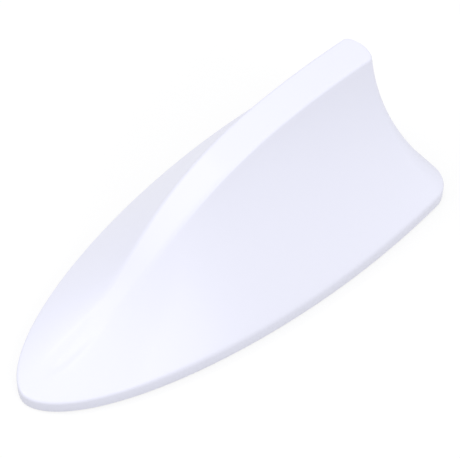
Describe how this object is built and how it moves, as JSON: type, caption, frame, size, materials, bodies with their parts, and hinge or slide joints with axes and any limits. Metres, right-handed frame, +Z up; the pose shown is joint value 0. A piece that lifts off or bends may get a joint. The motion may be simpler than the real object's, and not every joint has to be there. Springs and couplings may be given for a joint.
{
  "type": "shark fin aerial",
  "caption": "Roof aerial with a moulded fin cover over a taped base plate, amplifier board, loading coil and folded top plate, with a cable outlet below.",
  "frame": {"origin": "centre of the base's bounding box, on the face of the adhesive pad", "axes": "+X towards the tail, -X towards the nose, +Z up from the roof, Y across the car"},
  "size_m": [0.167, 0.0756, 0.0603],
  "materials": {
    "cover_white": "high gloss moulded ABS, white",
    "plate_black": "fine satin moulded nylon, black",
    "rubber_black": "matt moulded rubber, black",
    "foam_grey": "matt acrylic foam tape, dark grey",
    "tinned_sheet": "tinned steel sheet, satin",
    "board_green": "fibreglass board with green solder resist",
    "chip_black": "moulded epoxy, black",
    "capacitor_tan": "ceramic with tinned ends, tan",
    "inductor_grey": "ferrite, dark grey",
    "socket_ivory": "moulded nylon, ivory",
    "contact_gold": "gold-flashed brass",
    "holder_natural": "moulded acetal, natural",
    "copper_wire": "enamelled copper wire",
    "foam_blue_grey": "open foam, blue grey",
    "screw_steel": "zinc-plated steel"
  },
  "bodies": {
    "root": {"fin_cover": "cover_white", "cover_seal": "rubber_black", "base_plate": "plate_black", "adhesive_pad": "foam_grey", "cable_gland": "rubber_black", "ground_plate": "tinned_sheet", "amplifier_board": "board_green", "shield_can": "tinned_sheet", "amplifier_chip": "chip_black", "chip_capacitors": "capacitor_tan", "chip_inductors": "inductor_grey", "input_transistors": "chip_black", "lead_socket": "socket_ivory", "socket_pins": "contact_gold", "element_holder": "holder_natural", "top_plate": "tinned_sheet", "loading_coil": "copper_wire", "coil_former": "holder_natural", "damping_pads": "foam_blue_grey", "board_screws": "screw_steel", "holder_screws": "screw_steel", "cover_screws": "screw_steel"}
  },
  "joints": []
}
